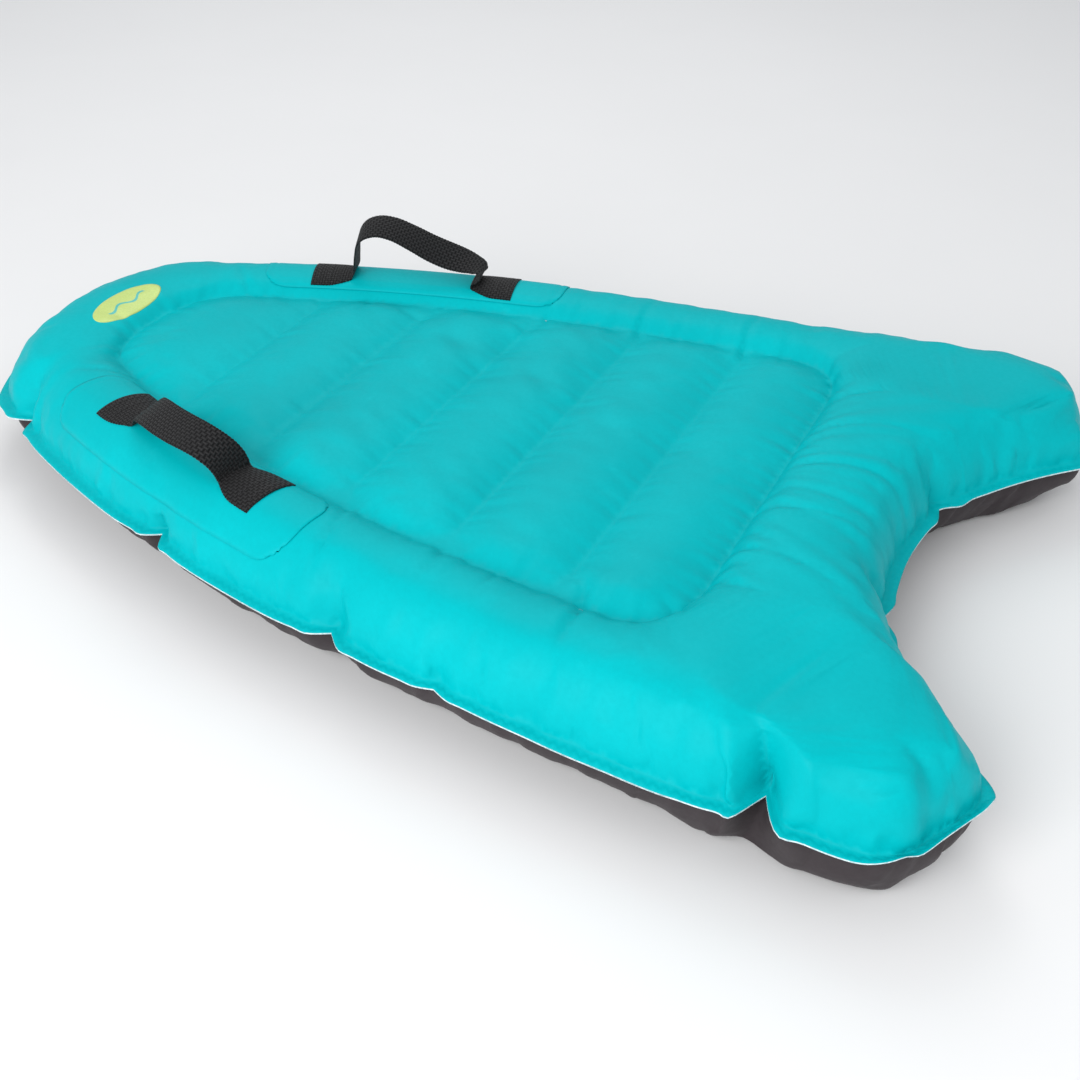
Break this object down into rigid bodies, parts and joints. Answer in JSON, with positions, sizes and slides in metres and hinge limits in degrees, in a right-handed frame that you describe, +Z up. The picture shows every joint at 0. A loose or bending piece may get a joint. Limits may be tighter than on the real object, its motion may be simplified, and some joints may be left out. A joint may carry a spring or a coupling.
{
  "type": "inflatable bodyboard",
  "caption": "Short inflatable board with round side tubes, a quilted centre deck, a notched tail, two webbing strap handles and an air valve underneath.",
  "frame": {"origin": "on the ground under the middle of the board", "axes": "+X towards the nose, +Y to the rider's left, +Z up"},
  "size_m": [0.9598, 0.64, 0.1615],
  "materials": {
    "deck_fabric": "satin coated fabric",
    "hull_fabric": "matte coated fabric",
    "baffle_fabric": "matte coated fabric",
    "webbing": "woven",
    "thread": "woven",
    "badge_film": "printed film",
    "valve_plastic": "moulded",
    "valve_rubber": "matte"
  },
  "bodies": {
    "board": {"deck_skin": "deck_fabric", "hull_skin": "hull_fabric", "cross_baffle_1": "baffle_fabric", "cross_baffle_2": "baffle_fabric", "cross_baffle_3": "baffle_fabric", "cross_baffle_4": "baffle_fabric", "cross_baffle_5": "baffle_fabric", "side_baffle_left_1": "baffle_fabric", "side_baffle_left_2": "baffle_fabric", "side_baffle_left_3": "baffle_fabric", "side_baffle_left_4": "baffle_fabric", "side_baffle_right_1": "baffle_fabric", "side_baffle_right_2": "baffle_fabric", "side_baffle_right_3": "baffle_fabric", "side_baffle_right_4": "baffle_fabric", "nose_baffle": "baffle_fabric", "tail_baffle": "baffle_fabric", "handle_left_patch": "deck_fabric", "handle_left_front_tab": "webbing", "handle_left_rear_tab": "webbing", "handle_left_stitching": "thread", "handle_right_patch": "deck_fabric", "handle_right_front_tab": "webbing", "handle_right_rear_tab": "webbing", "handle_right_stitching": "thread", "nose_badge": "badge_film", "valve_base": "valve_plastic", "valve_gasket": "valve_rubber"},
    "left_grip": {"handle_left_grip": "webbing"},
    "right_grip": {"handle_right_grip": "webbing"},
    "valve_insert": {"valve_insert": "valve_plastic", "valve_hinge_pin": "valve_plastic"},
    "check_flap": {"valve_check_flap": "valve_rubber"},
    "valve_cap": {"valve_cap": "valve_plastic"}
  },
  "joints": [
    {"name": "handle_left_tilt", "type": "hinge", "parent": "board", "child": "left_grip", "pos_m": [0.1785, 0.18036, 0.1063], "axis": [0.9528, -0.3036, 0], "range_deg": [-60, 60]},
    {"name": "handle_right_tilt", "type": "hinge", "parent": "board", "child": "right_grip", "pos_m": [0.1785, -0.18036, 0.1063], "axis": [0.9528, 0.3036, 0], "range_deg": [-60, 60]},
    {"name": "valve_insert_unscrew", "type": "slide", "parent": "board", "child": "valve_insert", "axis": [0, 0, -1], "range_m": [0, 0.02]},
    {"name": "check_flap_lift", "type": "slide", "parent": "valve_insert", "child": "check_flap", "axis": [0, 0, 1], "range_m": [0, 0.002]},
    {"name": "valve_cap_hinge", "type": "hinge", "parent": "valve_insert", "child": "valve_cap", "pos_m": [0.2844, 0, 0.0079], "axis": [0, 1, 0], "range_deg": [0, 150]}
  ]
}
